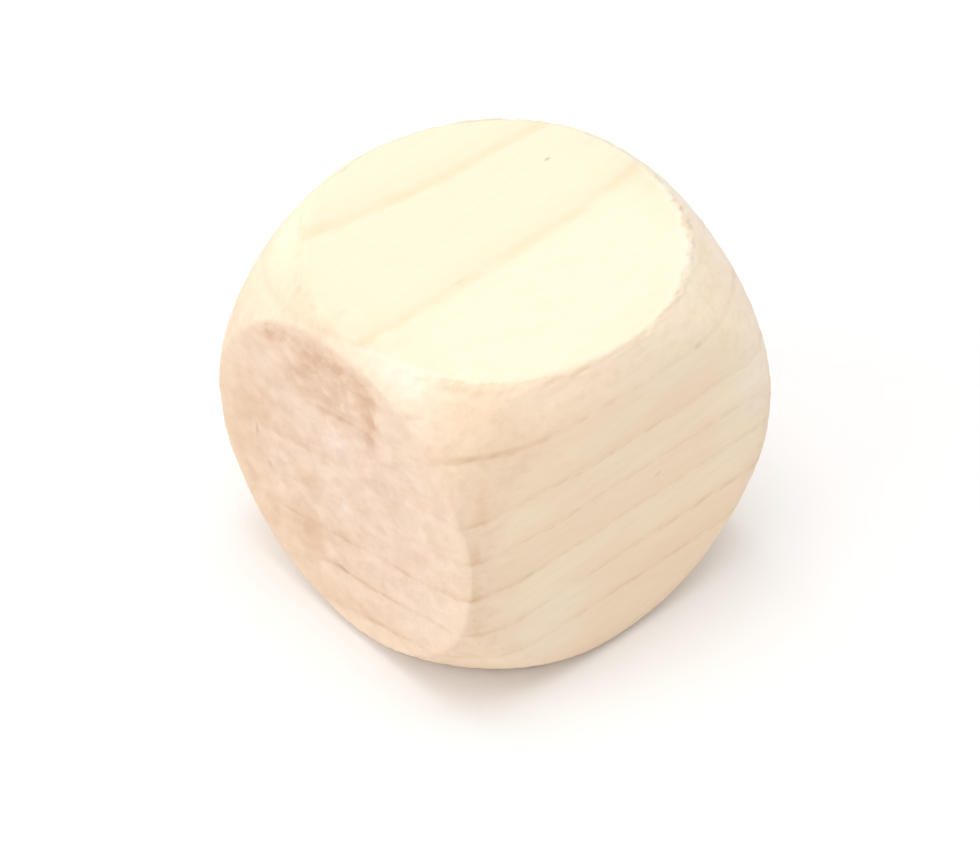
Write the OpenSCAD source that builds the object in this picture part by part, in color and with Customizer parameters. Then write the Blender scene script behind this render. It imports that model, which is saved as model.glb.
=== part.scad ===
// Small solid cube of pale wood with its corners turned to a ball.
// A ball is faced off on six sides, which leaves a round flat on each face and a
// narrow waist of the ball between neighbouring flats.  Each flat's rim is eased
// by an arc that runs from the flat out into the ball.
// The grain runs along X, so the end grain shows on the -X and +X flats.
// Origin: centre of the bottom flat.  +Z is up.  Millimetres.

/* [Cube] */
// Distance between opposite flats
side = 20; // [16:0.5:50]
// Diameter of the round flat on each face, measured before its rim is eased
flat_d = 18.8; // [10:0.2:20]
// Radius of the arc that eases a flat's rim into the ball
rim_r = 0.8; // [0.2:0.1:2]

/* [Hidden] */

half = side / 2;
// The ball passes through the edge of every flat
ball_r = norm([half, flat_d / 2]);

// The rim's arc stands this far out of the ball at its outer end, so that it
// crosses the ball's surface instead of only touching it
rim_run_out = rim_r / 80;
// The arc's centre, as distance from the flat's axis and height above the ball's centre
rim_z = half - rim_r;
rim_x = sqrt(pow(ball_r - rim_r + rim_run_out, 2) - pow(rim_z, 2));
// Far enough out to clear the ball everywhere
clear_r = 2 * ball_r;

// Turns that bring +Z onto each of the six faces
FACE_TURNS = [
    [0, 0, 0], [180, 0, 0],
    [0, 90, 0], [0, -90, 0],
    [90, 0, 0], [-90, 0, 0]
];

$fn = 180;

// Half section of what is cut away above one flat: flat, eased rim, then a
// straight run outwards along the line from the ball's centre
module facing_section() {
    difference() {
        polygon([
            [0, half],
            [rim_x, half],
            [rim_x, rim_z],
            [rim_x, rim_z] * clear_r / rim_z,
            [0, clear_r]
        ]);
        translate([rim_x, rim_z])
            circle(r = rim_r);
    }
}

// Wood removed from the ball to leave the flat on its +Z side
module facing_cut() {
    rotate_extrude()
        facing_section();
}

module wooden_cube() {
    color("#f2dfc4")
        translate([0, 0, half])
            difference() {
                sphere(r = ball_r);
                for (turn = FACE_TURNS)
                    rotate(turn)
                        facing_cut();
            }
}

wooden_cube();
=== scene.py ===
"""Looks of the small wooden cube: one sanded block of pale wood, on a white table.

The block is one mesh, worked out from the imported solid: the same ball and the same six
flats, with what the saw, the tumbler and the sandpaper leave on real wood.  Lengths in
this script are millimetres and places are measured from the block's centre, unless a
comment says otherwise; MM turns them into metres.  Angles of view are in degrees.
"""

import math
from types import SimpleNamespace

import bpy
import numpy as np
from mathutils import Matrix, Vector


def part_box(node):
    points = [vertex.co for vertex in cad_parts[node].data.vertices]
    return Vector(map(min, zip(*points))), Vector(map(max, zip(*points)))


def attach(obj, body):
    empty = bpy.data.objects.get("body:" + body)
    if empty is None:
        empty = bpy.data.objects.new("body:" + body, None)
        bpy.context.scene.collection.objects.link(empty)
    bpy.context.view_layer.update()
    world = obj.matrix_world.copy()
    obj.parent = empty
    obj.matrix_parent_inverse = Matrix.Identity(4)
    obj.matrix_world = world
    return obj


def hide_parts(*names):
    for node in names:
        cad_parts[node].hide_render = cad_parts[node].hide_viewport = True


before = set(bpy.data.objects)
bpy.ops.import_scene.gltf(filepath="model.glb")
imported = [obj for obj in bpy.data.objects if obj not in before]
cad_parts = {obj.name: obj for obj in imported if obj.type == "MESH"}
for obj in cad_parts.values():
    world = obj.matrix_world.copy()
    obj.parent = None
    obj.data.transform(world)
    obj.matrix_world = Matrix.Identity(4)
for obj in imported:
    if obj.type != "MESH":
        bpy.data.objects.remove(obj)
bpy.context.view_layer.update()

MM = 0.001
NODE = "wooden_cube"
low, high = (np.array(corner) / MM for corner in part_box(NODE))
CENTRE = (low + high) / 2
HALF = float((high - low)[2]) / 2


# ---------------------------------------------------------------- measures of the solid

def ball_radius():
    """Radius of the ball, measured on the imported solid."""
    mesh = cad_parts[NODE].data
    points = np.empty(len(mesh.vertices) * 3)
    mesh.vertices.foreach_get("co", points)
    return np.linalg.norm(points.reshape(-1, 3) / MM - CENTRE, axis=1).max()


BALL_R = ball_radius()
RIM_R = math.sqrt(BALL_R ** 2 - HALF ** 2)      # radius of a flat before its rim is eased


# ---------------------------------------------------------------- small tools

def waves(points, length, seed, count=28):
    """Smooth seeded wobble of about -1 to 1; length is the wavelength along X, Y and Z."""
    rng = np.random.default_rng(seed)
    total = np.zeros(len(points))
    for _ in range(count):
        direction = rng.normal(size=3)
        direction /= np.linalg.norm(direction)
        stretch = rng.uniform(0.7, 1.6)
        phase = rng.uniform(0, math.tau)
        total += np.sin(points @ (direction * stretch * math.tau / np.array(length)) + phase)
    return total / math.sqrt(count * 2)


def smooth(zero_at, one_at, x):
    """0 from zero_at outwards, 1 from one_at outwards, and eased between the two."""
    t = np.clip((x - zero_at) / (one_at - zero_at), 0, 1)
    return t * t * (3 - 2 * t)


def bell(x, centre, width):
    """1 at the centre, and about a third at the width on either side of it."""
    return np.exp(-(((x - centre) / width) ** 2))


def marks(points, places):
    """Sum of soft marks, each written as (centre, reach along X, Y and Z, strength)."""
    total = np.zeros(len(points))
    for centre, reach, strength in places:
        away = (points - np.array(centre)) / np.array(reach)
        total += strength * np.exp(-(away ** 2).sum(1))
    return total


# ---------------------------------------------------------------- the wood's own lines

# The grain runs along X.  Growth rings are near-level sheets that rise towards -Y.
RING_TILT = math.atan(0.285)
RING_UP = np.array([0, math.sin(RING_TILT), math.cos(RING_TILT)])
# Widths of the growth rings, from the bottom of the block to its top
RING_WIDTHS = [2.4, 2.4, 2.5, 2.2, 2.6, 2.3, 2.5, 3.2, 2.2, 2.6, 1.7, 2.3]
# How much deeper the wood of each ring is than the rest
RING_TONES = [0, 0.06, 0, 0.08, 0, 0.06, 0, 0.06, 0, 0, 0.11, 0.08]
# Height of the bottom ring's lower edge, measured along RING_UP from the block's centre
LOWEST_RING = -15.4
# Twist of the sheets near the top, where the two lines drift together
RING_TWIST = -0.0055
# Height of the wobble of the sheets
RING_WOBBLE = 0.10

# Where the sheets lie higher than that, or lower: place, reach and how far
RING_BENDS = [
    ((-5, -10, 8.2), (2.4, 3, 2.0), -0.42),
    ((-9.2, -7.2, 7.4), (1.6, 1.6, 1.5), 0.28),
    ((-9.3, -9.7, 4.8), (3, 3, 1.8), -0.45),
    ((2, -10, 4.5), (6, 4, 1.5), -0.20),
    ((-1, -10, -5.6), (9, 5, 1.2), -0.20),
    ((-10, -5.5, -1.9), (3, 3, 1.0), -0.35),
    ((-10, 1, -3.7), (3, 3, 0.8), -0.15),
    ((-10, 0.5, -6.0), (3, 3, 0.9), 0.33),
    ((1, 5.6, 10), (4, 2.5, 3), -0.08),
    ((-6, 6.7, 10), (1.5, 1.5, 3), 0.05),
    ((5, -0.4, 10), (5, 2.5, 3), -0.13),
    ((-4, -0.6, 10), (5, 2.5, 3), -0.04),
]

# Where the rings' dark edges show more than elsewhere, or less: place, reach and strength
LINE_MARKS = [
    # the -Y side
    ((0.0, -10, 4.6), (3.4, 3, 0.9), 0.10),
    ((-5.2, -10, 1.9), (2.0, 3, 0.9), 0.10),
    ((-7.2, -10, -0.4), (2.2, 3, 0.9), 0.14),
    ((-1.0, -10, -0.4), (1.8, 3, 0.9), 0.06),
    ((1.5, -10, -3.2), (2.6, 3, 0.9), 0.11),
    ((5.6, -10, -3.2), (1.6, 3, 0.9), 0.14),
    ((2.0, -10, -5.7), (5.0, 3, 0.9), 0.10),
    ((2.0, -10, -8.0), (8.0, 3, 1.2), -0.14),
    # the -X end
    ((-10, 0.8, 4.7), (3, 2.2, 0.7), 0.28),
    ((-10, 0.0, -3.4), (3, 2.0, 0.7), 0.24),
    ((-10, 3.6, -4.5), (3, 1.0, 0.7), 0.25),
    ((-10, -4.6, -2.2), (3, 0.9, 0.7), 0.25),
    ((-10, -7.6, -1.2), (3, 1.4, 0.7), 0.14),
    ((-10, 0.4, -5.8), (3, 1.4, 0.7), 0.36),
    ((-10, -2.6, -5.1), (3, 1.2, 0.7), 0.30),
    ((-10, -6.5, -4.0), (3, 1.6, 0.7), 0.18),
    ((-10, -3.0, -7.6), (3, 4.5, 0.8), 0.22),
    ((-10, -3.5, -4.9), (3, 2.5, 0.7), 0.12),
    ((-10, 4.0, 0.6), (3, 4.5, 0.9), 0.15),
    # the corner in front, the top and the front of its rim
    ((-8.2, -8.2, 7.4), (2.2, 2.2, 1.3), 0.30),
    ((-6.0, -0.8, 10.0), (2.2, 2.0, 2.0), -0.06),
    ((-7.4, -7.4, 9.4), (3.0, 3.0, 0.9), -0.20),
    ((2.0, -9.5, 9.5), (6.0, 1.4, 0.8), -0.15),
    # the edge between the -X end and the -Y side
    ((-9.4, -9.2, 4.1), (0.9, 0.7, 0.7), 0.22),
    ((-9.6, -9.6, 1.8), (0.7, 0.6, 0.7), 0.32),
    ((-9.9, -9.3, -0.7), (0.8, 0.8, 0.7), 0.16),
    ((-9.5, -9.3, -3.4), (0.8, 0.7, 0.7), 0.17),
    ((-8.0, -10.0, -3.0), (1.6, 1.0, 0.8), 0.12),
]

# Where a line on the top is thinner: place, reach and strength
THIN_MARKS = [((-7.0, -0.9, 10.0), (3.5, 2.0, 2.0), 0.9)]


def ring_index(points):
    """How many growth rings lie below each point; a whole number is a ring's dark edge."""
    x, y, z = points.T
    twist = RING_TWIST * x * (y - 1.0) * np.clip(z / HALF, 0, 1) ** 2
    height = points @ RING_UP - twist + RING_WOBBLE * waves(points, (30, 9, 9), 5)
    height -= marks(points, RING_BENDS)
    edges = LOWEST_RING + np.concatenate([[0], np.cumsum(RING_WIDTHS)])
    return np.interp(height, edges, np.arange(len(edges)))


# ---------------------------------------------------------------- wear, stains, and painted light and shade

# Directions from the block's centre stand for places here, unless a comment says place.

# Radius of the rounding of the rims of the ends, of the flats above and below, and of the
# sides; the -Y side's rim has so much more
END_EASE = 0.11
LEVEL_EASE = 0.13
SIDE_EASE = 0.22
FRONT_EASE = 0.38
# Where wear has rounded the rims of the sides, and those above and below, even more
WORN_SIDE = [((-0.45, -0.72, 0.45), (0.45, 0.45, 0.55), 2.6)]
WORN_CORNER = [((-0.5, -0.55, 0.68), (0.25, 0.25, 0.2), 0.2)]

# Where the ball's radius departs from the true one: direction, reach, and how far
SWELLS = [
    ((0.30, 0.72, 0.62), (0.40, 0.35, 0.35), -0.27),
    ((0.86, 0.10, 0.50), (0.25, 0.30, 0.25), -0.13),
    ((-0.02, -0.69, 0.72), (0.55, 0.16, 0.16), -0.20),
    ((-0.71, 0.20, 0.67), (0.16, 0.50, 0.16), -0.14),
    ((-0.74, 0.52, 0.42), (0.12, 0.20, 0.20), -0.15),
]

# Waves of the ball's surface: height, wavelength along X, Y and Z, and seed
BALL_WAVES = [
    (0.03, (7, 5, 5), 12),
    (0.022, (1.6, 0.9, 0.9), 11),
    (0.010, (0.9, 0.8, 0.8), 15),
]

# The top's rim is sharp in front and fades away at the far left
SOFT_RIM_MARKS = [((-0.70, 0.20, 0.70), (0.35, 0.45, 0.30), 1.0)]
# Fibres that cross the top's rim break off there as short teeth, most on the right
FRAYED_MARKS = [((0.66, -0.25, 0.70), (0.40, 0.45, 0.30), 1.0)]

# Stains of the -X end, by place: reddish where the grain tore, darkened also as painted shadow
# under the tear's lip, brown where it took up dirt
TORN_MARKS = [
    ((-10, 1.6, 6.4), (3, 3.8, 1.7), 0.46),
    ((-10, 5.3, 6.9), (3, 1.1, 0.6), 0.60),
    ((-10, 3.6, 7.7), (3, 1.0, 0.6), 0.35),
    ((-10, 3.0, 5.2), (3, 1.1, 0.7), 0.25),
    ((-10, -0.9, 8.1), (3, 0.9, 0.6), 0.25),
    ((-10, 1.5, 7.8), (3, 1.3, 0.6), 0.68),
    ((-10, -0.3, 8.3), (3, 1.2, 0.6), 0.40),
    ((-10, -2.0, 7.8), (3, 0.6, 1.5), 0.58),
    ((-10, -2.3, 6.1), (3, 0.45, 1.5), 0.66),
]
# The grain tore off above this ring's edge, and so deep
TORN_RING = 8
TORN_DEPTH = 0.07
BROWN_MARKS = [
    ((-10, 6.6, 0.6), (3, 1.4, 0.6), 0.60),
    ((-10, 5.4, 2.0), (3, 0.9, 0.5), 0.45),
    ((-10, 8.0, -2.3), (3, 0.7, 1.2), 0.45),
    ((-10, 7.3, -4.6), (3, 0.8, 1.2), 0.40),
    ((-10, 5.3, -6.7), (3, 1.0, 0.7), 0.10),
    ((-10, -5.0, -3.0), (3, 1.4, 0.8), 0.25),
    ((-10, 2.5, -5.2), (3, 0.9, 1.1), 1.30),
    ((-10, 7.5, 1.0), (3, 1.6, 2.5), 0.30),
    ((-10, 6.0, -6.0), (3, 2.5, 1.2), 0.25),
    ((-10, 2.9, -1.4), (3, 0.9, 0.7), 0.55),
    ((-10, 0.3, -4.5), (3, 1.6, 0.7), 0.35),
    ((-10, 1.0, -8.2), (3, 1.8, 0.6), 0.50),
    ((-10, -1.3, -7.6), (3, 0.9, 0.4), 0.70),
    ((-10, 7.8, -2.5), (3, 1.9, 4.5), 0.50),
    ((-10, 5.0, -6.5), (3, 2.5, 2.2), 0.40),
]

# Painted highlights, as pale as the painted highlight on the flats above and below: direction,
# reach and strength
PAINTED_HIGHLIGHT_MARKS = [
    ((-0.66, -0.25, 0.71), (0.14, 0.17, 0.075), 0.90),
    ((-0.67, 0.00, 0.735), (0.12, 0.35, 0.03), 0.70),
    ((-0.35, 0.62, 0.70), (0.30, 0.25, 0.10), 0.70),
    ((0.25, 0.66, 0.71), (0.30, 0.12, 0.05), 0.60),
    ((-0.62, 0.45, 0.64), (0.25, 0.50, 0.25), 0.26),
    ((-0.48, 0.62, 0.64), (0.30, 0.25, 0.14), 0.40),
    ((0.70, 0.06, 0.705), (0.14, 0.26, 0.06), 0.95),
    ((0.58, 0.36, 0.73), (0.16, 0.16, 0.06), 0.80),
    ((0.725, -0.05, 0.685), (0.08, 0.14, 0.06), 0.55),
]

# Painted light, where it is lighter but stays warm
PAINTED_LIGHT_MARKS = [
    ((-0.665, -0.25, 0.715), (0.09, 0.16, 0.07), 0.60),
    ((-0.70, -0.37, 0.61), (0.06, 0.08, 0.07), 0.40),
    ((-0.38, -0.62, 0.69), (0.16, 0.12, 0.06), 0.40),
    ((0.44, -0.53, 0.72), (0.30, 0.16, 0.05), 0.50),
    ((0.80, -0.10, 0.58), (0.24, 0.36, 0.32), 0.90),
    ((0.70, -0.38, 0.60), (0.10, 0.22, 0.12), 0.30),
    ((0.73, 0.00, 0.68), (0.10, 0.25, 0.05), 0.50),
    ((0.71, -0.28, 0.65), (0.08, 0.12, 0.06), 0.40),
    ((0.78, -0.56, 0.30), (0.26, 0.28, 0.40), 0.45),
    ((0.62, -0.74, 0.22), (0.16, 0.14, 0.35), 0.45),
    ((0.35, -0.70, 0.62), (0.40, 0.20, 0.15), 0.30),
    ((-0.05, -0.70, 0.70), (0.40, 0.08, 0.08), 0.15),
    ((-0.42, -0.80, -0.40), (0.20, 0.20, 0.20), 0.30),
]
# Where the -X end is lighter: place, reach and strength
END_LIGHT_MARKS = [
    ((-10, -5.8, -4.6), (3, 2.2, 2.6), 0.20),
    ((-10, -0.2, -1.4), (3, 0.5, 0.4), 0.70),
    ((-10, 0.3, 2.7), (3, 1.2, 0.9), 0.60),
]

# Painted warm light under the front of the top's rim
PAINTED_WARM_LIGHT_MARKS = [((-0.32, -0.64, 0.66), (0.28, 0.20, 0.12), 0.5)]

# Painted shade on the front corner, where it is darker
PAINTED_SHADE_MARKS = [
    ((-0.53, -0.64, 0.56), (0.16, 0.14, 0.17), 0.25),
    ((-0.54, -0.54, 0.65), (0.12, 0.12, 0.04), 0.25),
]
# Painted shade runs along the front of the top's rim, so far out and so wide
RIM_SHADE_MARKS = [((-0.55, -0.47, 0.69), (0.14, 0.14, 0.25), 0.45)]
RIM_SHADE_GAP, RIM_SHADE_WIDTH = 0.6, 0.25

# Specks and small cracks: place, half sizes, and depth of tone
SPECKS = [
    ((6.1, 3.0, 10.0), (0.18, 0.09, 1.0), 0.32),
    ((-3.0, -0.7, 10.0), (0.40, 0.05, 1.0), 0.10),
    ((-10.0, 6.5, -0.8), (1.0, 0.11, 0.40), 0.22),
    ((-10.0, 5.6, -2.5), (1.0, 0.20, 0.22), 0.18),
    ((-10.0, 0.1, -5.75), (1.0, 0.40, 0.13), 0.22),
    ((-9.6, 8.3, -5.0), (1.0, 0.20, 0.20), 0.40),
    ((4.3, -9.9, 7.75), (0.25, 1.0, 0.14), 0.15),
    ((1.8, -10.0, 0.7), (0.20, 1.0, 0.10), 0.14),
]


# ---------------------------------------------------------------- form of the block

GRID = 128          # quads along one edge of the block's cube-shaped grid
RIM_RING = 46       # grid rings from the middle of a flat out to its rim
# Share of the rings' spacing that is even, inside a rim and outside it, and the power by
# which the rest crowds together towards the rim
EVEN_INSIDE, CROWD_INSIDE = 0.35, 1.8
EVEN_OUTSIDE, CROWD_OUTSIDE = 0.4, 2
HALVINGS = 26       # of the stretch in which a ray leaves the block
END_START = HALF * 0.6      # stains and lines this far along X, or farther, are an end's own


def grid_directions(lattice, n):
    """Directions for a cube lattice of -1 to 1, so that its rings follow the flats' rims."""
    rows = np.arange(len(lattice))
    face = np.abs(lattice).argmax(1)
    a = lattice[rows, (face + 1) % 3]
    b = lattice[rows, (face + 2) % 3]
    ring = np.maximum(np.abs(a), np.abs(b))
    turn = np.minimum(np.abs(a), np.abs(b)) / np.maximum(ring, 1e-9) * math.pi / 4
    along, across = np.cos(turn), np.sin(turn)
    wide = np.abs(a) >= np.abs(b)
    inner = np.clip(ring * n / 2 / RIM_RING, 0, 1)
    outer = np.clip((ring * n / 2 - RIM_RING) / (n / 2 - RIM_RING), 0, 1)
    crowded = 1 - (1 - inner) ** CROWD_INSIDE
    radius = RIM_R * (EVEN_INSIDE * inner + (1 - EVEN_INSIDE) * crowded)
    crowded = outer ** CROWD_OUTSIDE
    beyond = HALF / along - RIM_R
    radius = radius + beyond * (EVEN_OUTSIDE * outer + (1 - EVEN_OUTSIDE) * crowded)
    directions = np.empty((len(lattice), 3))
    directions[rows, face] = HALF * lattice[rows, face]
    directions[rows, (face + 1) % 3] = radius * np.sign(a) * np.where(wide, along, across)
    directions[rows, (face + 2) % 3] = radius * np.sign(b) * np.where(wide, across, along)
    return directions / np.linalg.norm(directions, axis=1, keepdims=True)


def block_grid(n):
    """Unit directions and outward quads of a welded cube grid with n quads an edge."""
    i, j = np.meshgrid(np.arange(n + 1), np.arange(n + 1), indexing="ij")
    keys, quads = [], []
    for axis in range(3):
        for side in (0, n):
            place = np.zeros((n + 1, n + 1, 3), int)
            place[..., axis] = side
            place[..., (axis + 1) % 3] = i
            place[..., (axis + 2) % 3] = j
            key = place @ np.array([(n + 1) ** 2, n + 1, 1])
            ring = [key[:-1, :-1], key[1:, :-1], key[1:, 1:], key[:-1, 1:]]
            quads.append(np.stack(ring if side else ring[::-1], -1).reshape(-1, 4))
            keys.append(key.ravel())
    found = np.unique(np.concatenate(keys))
    faces = np.searchsorted(found, np.concatenate(quads))
    steps = np.stack([found // (n + 1) ** 2, found // (n + 1) % (n + 1), found % (n + 1)], -1)
    return grid_directions(steps * 2 / n - 1, n), faces


def rounded_both(a, b, reach):
    """Signed distance to what lies inside both surfaces, with the edge between rounded."""
    outside = np.hypot(np.maximum(reach + a, 0), np.maximum(reach + b, 0))
    return np.minimum(np.maximum(a, b), -reach) + outside


def surface(directions, ball_extra, flat_dip, ease):
    """Points where the rays from the centre leave the ball cut by its six flats."""
    # every ray leaves the block between these two, whatever the relief
    near, far = np.full(len(directions), HALF * 0.8), np.full(len(directions), BALL_R * 1.1)
    for _ in range(HALVINGS):
        middle = (near + far) / 2
        points = directions * middle[:, None]
        depth = middle - BALL_R - ball_extra
        for axis in range(3):
            flat = np.abs(points[:, axis]) - HALF + flat_dip[:, axis]
            depth = rounded_both(depth, flat, ease[:, axis])
        inside = depth < 0
        near, far = np.where(inside, middle, near), np.where(inside, far, middle)
    return directions * near[:, None]


def rim_ease(directions):
    """Radius of the rounding of the rims of the X, Y and Z flats."""
    ends = np.full(len(directions), END_EASE)
    sides = SIDE_EASE + FRONT_EASE * smooth(0.3, -0.3, directions[:, 1])
    sides += marks(directions, WORN_SIDE)
    return np.stack([ends, sides, LEVEL_EASE + marks(directions, WORN_CORNER)], -1)


def rim_gap(points, swell):
    """Distance outside the rim of the flat that a point belongs to; negative inside it."""
    size = np.sort(np.abs(points), axis=1)
    return np.hypot(size[:, 0], size[:, 1]) / size[:, 2] * HALF - RIM_R - swell * BALL_R / RIM_R


def parts_of(plain, directions):
    """What part of the block each point belongs to, as weights from 0 to 1.

    gap and swell are lengths, left and right are true on the stained ends, and level
    means the flats above and below, with the ball around them.
    """
    along, across, up = np.abs(directions).T
    side = smooth(0.0, 0.1, across - np.maximum(along, up))
    level = smooth(0.0, 0.05, up - np.maximum(along, across))
    swell = marks(directions, SWELLS)
    gap = rim_gap(plain, swell)
    return SimpleNamespace(
        swell=swell,
        gap=gap,
        side=side,
        level=level,
        flat_top=level * smooth(0.3, -0.3, gap),
        fuzz=smooth(-0.15 - 1.2 * side, 0.3, gap),
        end_grain=smooth(0.50, 0.95, along),
        soft_rim=marks(directions, SOFT_RIM_MARKS),
        frayed=marks(directions, FRAYED_MARKS),
        left=plain[:, 0] < -END_START,
        right=plain[:, 0] > END_START,
    )


def ball_relief(plain, part):
    """How far the ball stands out; tumbling leaves it uneven, and frays the top's rim."""
    relief = np.zeros(len(plain))
    for height, length, seed in BALL_WAVES:
        relief += height * waves(plain, length, seed)
    relief += part.swell
    ragged = part.level * smooth(1.2, 0.3, np.abs(part.gap)) * smooth(0.9, -0.3, part.soft_rim)
    ragged = ragged * (1 + 0.5 * part.frayed)
    return relief + 0.06 * ragged * waves(plain, (1.2, 0.45, 0.45), 17)


def flat_relief(plain, part, torn):
    """How far the X, Y and Z flats dip; sanding leaves them wavy, and end grain rougher."""
    dip = 0.02 + 0.012 * waves(plain, (9, 5, 5), 13)
    dip = dip + 0.010 * part.end_grain * waves(plain, (5, 0.9, 1.4), 14)
    dip = np.clip(dip, 0, None)
    return np.stack([dip + TORN_DEPTH * torn, dip, dip], -1)


# ---------------------------------------------------------------- the block's mesh

def torn_wood(plain, part, rings):
    """Where the grain of the -X end tore: above one ring's edge, and along the patch's end."""
    y = plain[:, 1]
    torn = marks(plain, TORN_MARKS) * part.left * smooth(0.35, -0.25, part.gap + 0.2 * (y > 3))
    torn = torn * smooth(-3.1, -2.3, y + 0.25 * waves(plain, (9, 9, 1.6), 33))
    above = smooth(-0.15, 0.10, rings - TORN_RING + 0.10 * waves(plain, (9, 1.5, 1.5), 31))
    return torn * np.maximum(above, smooth(-1.5, -1.9, y))


def brown_stains(plain, part):
    """Stains of both ends; those of the +X end, out of the photo's sight, are its own."""
    hidden = smooth(-0.2, 1.6, waves(plain, (30, 7, 5), 41))
    return marks(plain, BROWN_MARKS) * part.left + 0.55 * hidden * part.right


def line_strength(plain, part):
    """How much the growth rings' dark edges show, 0 to 1."""
    line = 0.09 + 0.14 * part.flat_top - 0.05 * part.end_grain
    line += 0.03 * waves(plain, (9, 5, 2), 21)
    line += marks(plain, LINE_MARKS)
    hidden = smooth(-0.3, 1.2, waves(plain, (30, 5, 3), 23))
    line += 0.30 * hidden * part.right * part.end_grain
    return np.clip(line, 0, 1)


def neck_band(plain, rings):
    """A faint band down the edge between the -X end and the -Y side, painted shade that is
    deepest above a ring's line.
    """
    x, y, z = plain.T
    upper = smooth(3.0, 5.0, z)
    band = bell(y - x, 0.15 - 0.4 * upper, 0.35 + 0.25 * upper) * (x + y < -HALF)
    band = band * smooth(7.0, 5.0, z) * smooth(-5.0, -2.5, z)
    return band * (0.45 + 0.85 * smooth(0.7, 0.05, rings % 1))


def tones(plain, directions, part, rings):
    """Painted highlights, painted light and painted warm light, the lighter places of the -X
    end, and the deeper rings with painted shade.
    """
    outside = part.level * smooth(-0.5, -0.1, part.gap)
    outside = np.maximum(np.maximum(part.fuzz, part.side), outside)
    # painted light
    light = marks(directions, PAINTED_LIGHT_MARKS) * outside
    light += marks(plain, END_LIGHT_MARKS) * smooth(0.2, -0.4, part.gap)
    # a ring's tone is even from its dark edge nearly to the next
    starts = np.arange(len(RING_TONES)) + 0.05
    steps = np.stack([starts, starts + 0.85], -1).ravel()
    # painted shade on the front corner, and the deeper rings
    ring_tone_and_painted_shade = marks(directions, PAINTED_SHADE_MARKS) + np.interp(rings, steps, np.repeat(RING_TONES, 2))
    # painted shade along the front of the top's rim
    rim_shade = bell(part.gap, RIM_SHADE_GAP, RIM_SHADE_WIDTH)
    ring_tone_and_painted_shade += marks(directions, RIM_SHADE_MARKS) * rim_shade
    return {
        # painted highlights
        "pale": np.clip(marks(directions, PAINTED_HIGHLIGHT_MARKS) * outside, 0, 1),
        # painted light, and the lighter places of the -X end
        "light": np.clip(light, 0, 1),
        # painted warm light
        "painted_warm_light": marks(directions, PAINTED_WARM_LIGHT_MARKS) * outside,
        # deeper rings, and painted shade
        "ring_tone_and_painted_shade": np.clip(ring_tone_and_painted_shade, 0, 1),
    }


def block_mesh():
    """The block, with what its material reads kept as values on the mesh's points."""
    directions, faces = block_grid(GRID)
    ease = rim_ease(directions)
    even = np.zeros((len(directions), 3))
    plain = surface(directions, even[:, 0], even, ease)
    part = parts_of(plain, directions)
    rings = ring_index(plain)
    torn = torn_wood(plain, part, rings)
    dips = flat_relief(plain, part, torn)
    points = surface(directions, ball_relief(plain, part), dips, ease)
    mesh = bpy.data.meshes.new("sanded_block")
    mesh.from_pydata((points + CENTRE) * MM, [], faces.tolist())
    mesh.polygons.foreach_set("use_smooth", np.ones(len(faces), bool))
    values = {
        "ring": rings,
        "line": line_strength(plain, part),
        "thin": 1 + marks(plain, THIN_MARKS),
        "torn": torn,
        "brown": brown_stains(plain, part),
        "neck": neck_band(plain, rings),
        **tones(plain, directions, part, rings),
    }
    for name in ("gap", "soft_rim", "frayed", "level", "flat_top", "end_grain", "fuzz"):
        values[name] = getattr(part, name)
    for name, value in values.items():
        mesh.attributes.new(name, "FLOAT", "POINT").data.foreach_set("value", value)
    mesh.validate()
    return mesh


# ---------------------------------------------------------------- materials

def srgb(red, green, blue):
    """A colour given in 0-255 steps, as Blender's linear RGBA."""
    parts = [v / 255 for v in (red, green, blue)]
    return [v / 12.92 if v <= 0.04045 else ((v + 0.055) / 1.055) ** 2.4 for v in parts] + [1.0]


WHITE = (1, 1, 1, 1)
TABLE_GREY = (0.90, 0.90, 0.90, 1)
TABLE_LIFT = 0.025      # strength of what the camera sees on top of the lit table

SIDE_WOOD = srgb(247, 226, 197)
SIDE_MOTTLE = srgb(245, 221, 192)
BALL_WOOD = srgb(245, 221, 193)
END_WOOD = srgb(243, 218, 197)
# painted highlight on the flats above and below, and on the painted highlights beside them
HIGHLIGHT_CREAM = srgb(238, 234, 208)
TOOTH_BROWN = srgb(224, 184, 140)
# painted light; on the ends, also the lighter places of the -X end
PAINTED_LIGHT_SIDE = srgb(248, 244, 226)
LIGHT_END = srgb(252, 236, 228)
# painted warm light
PAINTED_WARM_LIGHT = srgb(255, 228, 198)
LATE_WOOD = srgb(225, 185, 135)
LINE_BROWN = srgb(195, 152, 106)
LINE_ON_TOP = srgb(238, 205, 150)
FIBRE_BROWN = srgb(226, 196, 162)
# torn grain, with painted shadow under the tear's lip
TORN_BROWN_AND_SHADOW = srgb(204, 154, 116)
DIRT_BROWN = srgb(210, 164, 120)
# painted shade down the edge between the -X end and the -Y side
NECK_SHADE_BROWN = srgb(222, 178, 124)
SPECK_BROWN = srgb(126, 88, 54)
# What fibres, rays and chips, and deeper rings and painted shade, take off the light
GRAIN_SHADE = (0.80, 0.73, 0.66, 1)
DEEP_SHADE = (0.88, 0.75, 0.66, 1)

# How much more the marks of the ends lean than the rings do, in radians
END_LEAN = 0.32
# Height of the wood's finest relief
FINE_RELIEF = 0.06


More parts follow.
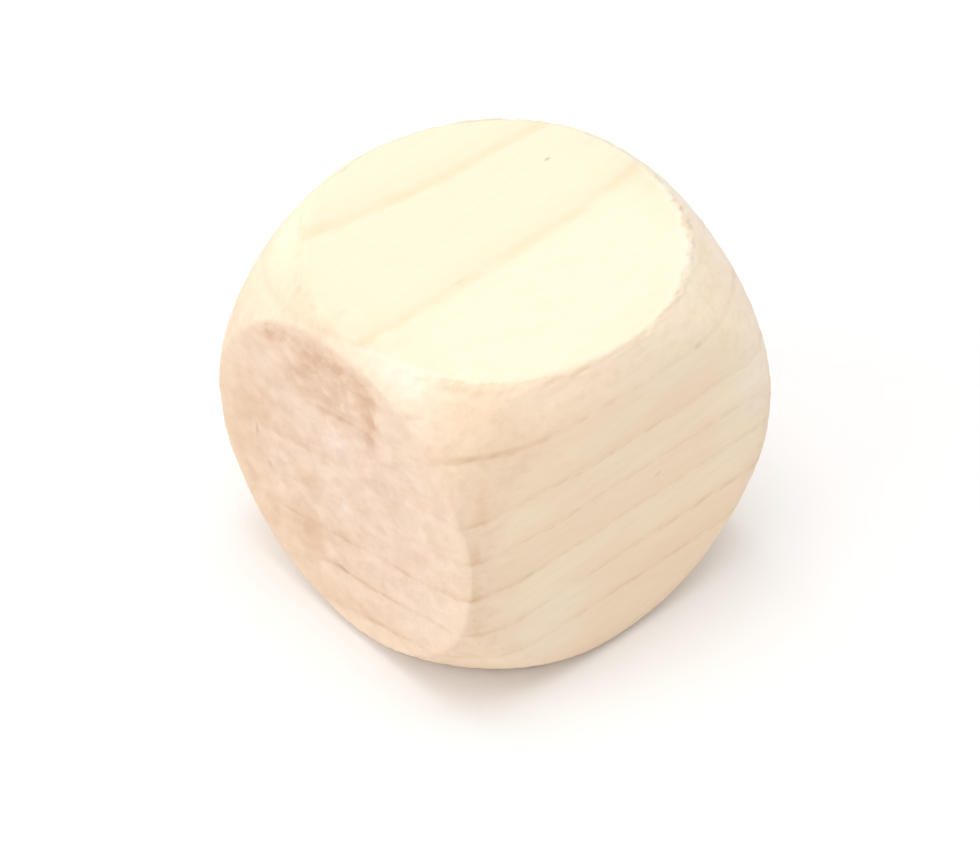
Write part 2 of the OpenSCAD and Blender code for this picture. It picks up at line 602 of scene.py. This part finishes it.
class Tree:
    """Short names for adding shader nodes."""

    def __init__(self, owner):
        owner.use_nodes = True
        self.tree = owner.node_tree
        self.tree.nodes.clear()
        self.attributes = {}

    def add(self, kind, inputs=None, **settings):
        """A node with its settings, and with inputs given by name or number."""
        node = self.tree.nodes.new("ShaderNode" + kind)
        for name, value in settings.items():
            setattr(node, name, value)
        for name, value in (inputs or {}).items():
            self.put(node.inputs[name], value)
        return node

    def put(self, socket, value):
        """Links a socket's output to this one, or writes a constant on it."""
        if isinstance(value, bpy.types.NodeSocket):
            self.tree.links.new(value, socket)
        else:
            socket.default_value = value

    def output(self, kind, shader):
        self.put(self.add(kind).inputs["Surface"], shader)

    def math(self, operation, *values):
        return self.add("Math", dict(enumerate(values)), operation=operation).outputs[0]

    def times(self, first, *rest):
        for value in rest:
            first = self.math("MULTIPLY", first, value)
        return first

    def plus(self, first, *rest):
        for value in rest:
            first = self.math("ADD", first, value)
        return first

    def one_minus(self, value):
        return self.math("SUBTRACT", 1.0, value)

    def clamp(self, value):
        return self.math("MINIMUM", self.math("MAXIMUM", value, 0.0), 1.0)

    def vector(self, operation, *values):
        node = self.add("VectorMath", dict(enumerate(values)), operation=operation)
        return node.outputs["Value" if operation == "LENGTH" else "Vector"]

    def turned(self, place, angle):
        spec = {"Vector": place, "Angle": angle}
        return self.add("VectorRotate", spec, rotation_type="X_AXIS").outputs[0]

    def attribute(self, name):
        """A value that block_mesh kept on the points, with one node for all who read it."""
        if name not in self.attributes:
            self.attributes[name] = self.add("Attribute", attribute_name=name).outputs["Fac"]
        return self.attributes[name]

    def noise(self, place, stretch, detail=2.0, rough=0.5):
        """Noise from 0 to 1 whose grains are 1/stretch millimetres along X, Y and Z."""
        mapped = self.vector("MULTIPLY", place, stretch)
        spec = {"Vector": mapped, "Scale": 1.0, "Detail": detail, "Roughness": rough}
        return self.add("TexNoise", spec).outputs["Fac"]

    def between(self, value, from_low, from_high, to_low=0.0, to_high=1.0):
        """Eased change from to_low to to_high as value goes from from_low to from_high."""
        spec = {0: value, 1: from_low, 2: from_high, 3: to_low, 4: to_high}
        return self.add("MapRange", spec, interpolation_type="SMOOTHSTEP").outputs[0]

    def eased(self, value, at_zero, at_one):
        """Eased change from at_zero, where value is 0, to at_one, where it is 1."""
        return self.between(value, 0.0, 1.0, at_zero, at_one)

    def mix(self, factor, a, b, blend="MIX"):
        node = self.add("Mix", data_type="RGBA", blend_type=blend)
        self.put(node.inputs["Factor"], factor)
        self.put(node.inputs["A"], a)
        self.put(node.inputs["B"], b)
        return node.outputs["Result"]


def wood_noises(t):
    """The noises that the wood is made of, and the place in millimetres that they vary with."""
    place = t.vector("MULTIPLY", t.add("TexCoord").outputs["Object"], (1 / MM,) * 3)
    # the same place, turned so that its Z runs square to the growth rings
    turned = t.turned(place, RING_TILT)
    leaning = t.turned(turned, END_LEAN)
    grit = t.noise(place, (1.7, 1.7, 1.7), 3.0, 0.6)
    # end grain breaks off in small chips
    crooked = t.vector("ADD", t.vector("MULTIPLY", leaning, (1.6, 1.3, 2.0)), t.times(grit, 0.9))
    chips = t.add("TexVoronoi", {"Vector": crooked, "Scale": 1.0}, feature="F1")
    return SimpleNamespace(
        place=place,
        streak=t.noise(turned, (0.6, 4.0, 4.0), 2.0, 0.6),
        dash=t.noise(turned, (1.1, 1.4, 3.2), 2.0, 0.6),
        mottle=t.noise(turned, (0.12, 0.35, 0.5)),
        blotch=t.noise(turned, (0.5, 0.9, 1.1)),
        teeth=t.noise(turned, (0.7, 2.4, 2.4), 3.0, 0.6),
        rays=t.noise(leaning, (1.5, 0.95, 1.45)),
        chunks=t.noise(leaning, (0.8, 0.48, 0.6), 1.0),
        chip=t.math("FRACT", t.times(chips.outputs["Color"], 1.7)),
        grit=grit,
    )


def highlight_and_bite(t, noises):
    """How far the painted highlight on the flats above and below reaches, and the teeth around
    it.

    Fibres cross the rims of these flats as ragged teeth, which are browner.
    """
    level, pale, frayed = t.attribute("level"), t.attribute("pale"), t.attribute("frayed")
    crisp = t.eased(t.attribute("soft_rim"), 1.0, 0.2)
    tooth = t.times(t.plus(noises.teeth, -0.5), t.plus(0.6, t.times(frayed, 1.1)), crisp)
    gap = t.times(t.plus(t.attribute("gap"), tooth), crisp)
    # the flats above and below, and the places beside them, take a painted highlight
    painted_level_highlight = t.math("MAXIMUM", t.times(t.between(gap, -0.10, 0.16, 1.0, 0.0), level), pale)
    near_rim = t.times(t.between(gap, 0.0, 0.1), t.between(gap, 0.2, 0.6, 1.0, 0.0))
    bite = t.times(t.between(noises.teeth, 0.46, 0.60), near_rim, level)
    bite = t.times(bite, t.one_minus(pale), t.plus(0.35, t.times(frayed, 0.25)))
    return painted_level_highlight, bite


def sanded_colour(t, noises, painted_level_highlight, bite):
    """Colour of the wood before its lines, its grain and its stains, with its painted
    highlights, painted light and painted warm light.
    """
    end_grain = t.attribute("end_grain")
    colour = t.mix(t.between(noises.mottle, 0.35, 0.65), SIDE_WOOD, SIDE_MOTTLE)
    colour = t.mix(t.attribute("fuzz"), colour, BALL_WOOD)
    colour = t.mix(t.eased(end_grain, 0.0, 1.0), colour, END_WOOD)
    # painted highlight
    colour = t.mix(painted_level_highlight, colour, HIGHLIGHT_CREAM)
    colour = t.mix(bite, colour, TOOTH_BROWN)
    # painted light, and the lighter places of the -X end
    painted_light_and_end_colour = t.mix(end_grain, PAINTED_LIGHT_SIDE, LIGHT_END)
    colour = t.mix(t.times(t.attribute("light"), 0.8), colour, painted_light_and_end_colour)
    # painted warm light
    return t.mix(t.attribute("painted_warm_light"), colour, PAINTED_WARM_LIGHT)


def ring_lines(t, noises):
    """The dark core of each growth-ring line, and the shade of late wood above it.

    A line is sharp below and fades out above.  The fibres that it crosses break it into
    dashes, least on the flats above and below.
    """
    flat_top = t.attribute("flat_top")
    jitter = t.times(t.plus(noises.dash, -0.5), t.eased(flat_top, 0.09, 0.03))
    ring = t.plus(t.attribute("ring"), jitter)
    off = t.plus(t.math("FRACT", t.plus(ring, 0.5)), -0.5)
    off = t.times(off, t.eased(flat_top, 1.0, 1.4), t.attribute("thin"))
    core = t.times(t.between(off, -0.09, -0.01), t.between(off, 0.01, 0.13, 1.0, 0.0))
    shade = t.times(t.between(off, -0.06, 0.04), t.between(off, 0.05, 0.40, 1.0, 0.0))
    broken = t.between(noises.dash, 0.40, 0.64, 0.25, 1.50)
    whole = t.between(noises.blotch, 0.35, 0.65, 0.60, 1.30)
    rough_wood = t.math("MAXIMUM", t.attribute("fuzz"), t.attribute("end_grain"))
    evenly = t.math("MAXIMUM", flat_top, t.times(rough_wood, 0.6))
    broken = t.plus(t.times(broken, t.one_minus(evenly)), t.times(whole, evenly))
    line = t.attribute("line")
    return t.times(core, line, broken), t.times(shade, line, 0.35)


def add_grain(t, noises, colour, painted_level_highlight):
    """Fibres, and on the ends rays and chips; what stands up on the ball; deeper rings and
    painted shade.
    """
    end_grain = t.attribute("end_grain")
    fibres = t.between(noises.streak, 0.40, 0.75, 0.0, 0.14)
    colour = t.mix(t.times(fibres, t.eased(painted_level_highlight, 1.0, 0.4)), colour, FIBRE_BROWN)
    fuzz = t.times(t.between(noises.grit, 0.42, 0.68, 0.0, 0.20), t.attribute("fuzz"))
    fuzz = t.times(fuzz, t.eased(painted_level_highlight, 1.0, 0.3), t.eased(t.attribute("light"), 1.0, 0.5))
    for tone in (
        t.times(t.between(noises.rays, 0.40, 0.66, 0.0, 0.28), end_grain),
        t.times(t.between(noises.chunks, 0.36, 0.64, 0.0, 0.28), end_grain),
        t.times(noises.chip, end_grain, 0.26),
        fuzz,
    ):
        colour = t.mix(tone, colour, GRAIN_SHADE, "MULTIPLY")
    # deeper rings, and painted shade
    return t.mix(t.times(t.attribute("ring_tone_and_painted_shade"), 0.8), colour, DEEP_SHADE, "MULTIPLY")


def add_stains_and_shade(t, noises, colour):
    """Torn and dirty places of the ends, with painted shadow in the torn place, the band of
    painted shade down the front edge, and specks.
    """
    uneven = t.plus(t.times(noises.rays, 2.6), t.times(noises.chip, 0.7), -0.52)
    torn = t.clamp(t.times(t.attribute("torn"), uneven))
    brown = t.attribute("brown")
    brown = t.clamp(t.plus(brown, t.times(brown, t.plus(noises.blotch, -0.45), 3.0)))
    # torn grain, and painted shadow under the tear's lip
    colour = t.mix(t.times(torn, 0.55), colour, TORN_BROWN_AND_SHADOW)
    colour = t.mix(t.times(brown, t.attribute("end_grain"), 0.45), colour, DIRT_BROWN)
    # painted shade down the front edge
    colour = t.mix(t.times(t.attribute("neck"), 0.22), colour, NECK_SHADE_BROWN)
    ragged = t.times(t.plus(noises.grit, -0.5), 1.5)
    for centre, reach, depth in SPECKS:
        away = t.vector("SUBTRACT", noises.place, tuple(CENTRE + centre))
        away = t.plus(t.vector("LENGTH", t.vector("DIVIDE", away, reach)), ragged)
        colour = t.mix(t.between(away, 0.4, 1.5, depth, 0.0), colour, SPECK_BROWN)
    return colour


def fine_relief(t, noises, painted_level_highlight, core):
    """Height of fibres, lines, rays, chips and fuzz, for the bump."""
    end_grain = t.attribute("end_grain")
    rough = t.times(t.attribute("fuzz"), t.between(t.attribute("light"), 0.0, 0.8, 0.9, 0.4))
    return t.plus(
        t.times(noises.streak, t.eased(painted_level_highlight, 0.25, 0.08)),
        t.times(core, -0.5),
        t.times(noises.rays, end_grain, 0.6),
        t.times(noises.grit, rough),
        t.times(noises.chip, end_grain, 0.5),
    )


def pale_wood():
    """Bare wood, fine-sanded; where it varies, it reads what block_mesh kept on the mesh."""
    material = bpy.data.materials.new("pale_wood")
    t = Tree(material)
    noises = wood_noises(t)
    painted_level_highlight, bite = highlight_and_bite(t, noises)
    core, shade = ring_lines(t, noises)
    colour = sanded_colour(t, noises, painted_level_highlight, bite)
    colour = t.mix(shade, colour, LATE_WOOD)
    colour = t.mix(core, colour, t.mix(t.attribute("flat_top"), LINE_BROWN, LINE_ON_TOP))
    colour = add_grain(t, noises, colour, painted_level_highlight)
    colour = add_stains_and_shade(t, noises, colour)
    height = fine_relief(t, noises, painted_level_highlight, core)
    bump = t.add("Bump", {"Height": height, "Strength": 0.5, "Distance": FINE_RELIEF * MM})
    shader = t.add("BsdfPrincipled", {"Base Color": colour, "Normal": bump.outputs[0]})
    shader.inputs["Roughness"].default_value = 0.7
    shader.inputs["Specular IOR Level"].default_value = 0.3
    t.output("OutputMaterial", shader.outputs[0])
    return material


def seen_directly(t):
    """1 for rays that show a background: from the camera, or by way of gloss or glass."""
    rays = t.add("LightPath").outputs
    seen = t.math("MAXIMUM", rays["Is Camera Ray"], rays["Is Glossy Ray"])
    return t.math("MAXIMUM", seen, rays["Is Transmission Ray"])


def table_white():
    """White table that keeps its shadow; where nothing shades it, the camera sees white."""
    material = bpy.data.materials.new("table_white")
    t = Tree(material)
    shade = t.add("BsdfDiffuse", {"Color": TABLE_GREY})
    strength = t.times(seen_directly(t), TABLE_LIFT)
    lift = t.add("Emission", {"Color": WHITE, "Strength": strength})
    both = t.add("AddShader", {0: shade.outputs[0], 1: lift.outputs[0]})
    t.output("OutputMaterial", both.outputs[0])
    return material


# ---------------------------------------------------------------- scene

TABLE_REACH = 3.0       # metres from the block to each edge of the table
WORLD_LIGHT = 0.65      # strength of the world's light on the block
WORLD_SEEN = 1.0        # and as a background, where 1 is white

# Lamps: name, azimuth, elevation and strength
SUNS = [
    ("key", -110, 30, 0.66),
    ("back", -170, 30, 0.32),
    ("overhead", 0, 89, 1.22),
]
SUN_WIDTH = 45          # degrees across

CAMERA_AZIMUTH = -41.5
CAMERA_ELEVATION = 45.3
CAMERA_DISTANCE = 280
CAMERA_LENS = 206.9
CAMERA_SENSOR = 36
# How far the camera aims to the left of the block's centre, and below it
AIM_LEFT, AIM_DOWN = 0.24, 1.63


def add_object(name, data):
    obj = bpy.data.objects.new(name, data)
    bpy.context.scene.collection.objects.link(obj)
    return obj


def add_block():
    block = add_object("sanded_block", block_mesh())
    block.data.materials.append(pale_wood())
    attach(block, "root")
    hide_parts(NODE)


def add_table():
    mesh = bpy.data.meshes.new("table")
    far = TABLE_REACH
    corners = [(-far, -far, 0), (far, -far, 0), (far, far, 0), (-far, far, 0)]
    mesh.from_pydata(corners, [], [(0, 1, 2, 3)])
    mesh.materials.append(table_white())
    add_object("table", mesh)


def direction(azimuth, elevation):
    """Unit vector from the block towards a lamp or camera; azimuth 0 is -Y, 90 is +X."""
    a, e = math.radians(azimuth), math.radians(elevation)
    return Vector((math.sin(a) * math.cos(e), -math.cos(a) * math.cos(e), math.sin(e)))


def look_against(obj, away):
    """Turns a lamp or camera so that it looks against the direction away."""
    obj.rotation_mode = "QUATERNION"
    obj.rotation_quaternion = away.to_track_quat("Z", "Y")


def add_sun(name, azimuth, elevation, strength):
    lamp = bpy.data.lights.new(name, "SUN")
    lamp.energy = strength
    lamp.angle = math.radians(SUN_WIDTH)
    look_against(add_object(name, lamp), direction(azimuth, elevation))


def add_world():
    world = bpy.data.worlds.new("studio")
    bpy.context.scene.world = world
    t = Tree(world)
    lit = t.add("Background", {"Color": WHITE, "Strength": WORLD_LIGHT})
    seen = t.add("Background", {"Color": WHITE, "Strength": WORLD_SEEN})
    both = t.add("MixShader", {0: seen_directly(t), 1: lit.outputs[0], 2: seen.outputs[0]})
    t.output("OutputWorld", both.outputs[0])


def add_camera():
    """Looks down on the corner between the -X end grain and the -Y side."""
    away = direction(CAMERA_AZIMUTH, CAMERA_ELEVATION)
    right = Vector((0, 0, 1)).cross(away).normalized()
    up = away.cross(right)
    aim = Vector(CENTRE) - right * AIM_LEFT - up * AIM_DOWN
    data = bpy.data.cameras.new("camera")
    data.sensor_width = CAMERA_SENSOR
    data.lens = CAMERA_LENS
    data.clip_start = 0.01      # metres, as clip_end is
    data.clip_end = 20
    camera = add_object("camera", data)
    look_against(camera, away)
    camera.location = (aim + away * CAMERA_DISTANCE) * MM
    bpy.context.scene.camera = camera


add_block()
add_table()
add_world()
for sun in SUNS:
    add_sun(*sun)
add_camera()
bpy.context.scene.view_settings.view_transform = "Standard"
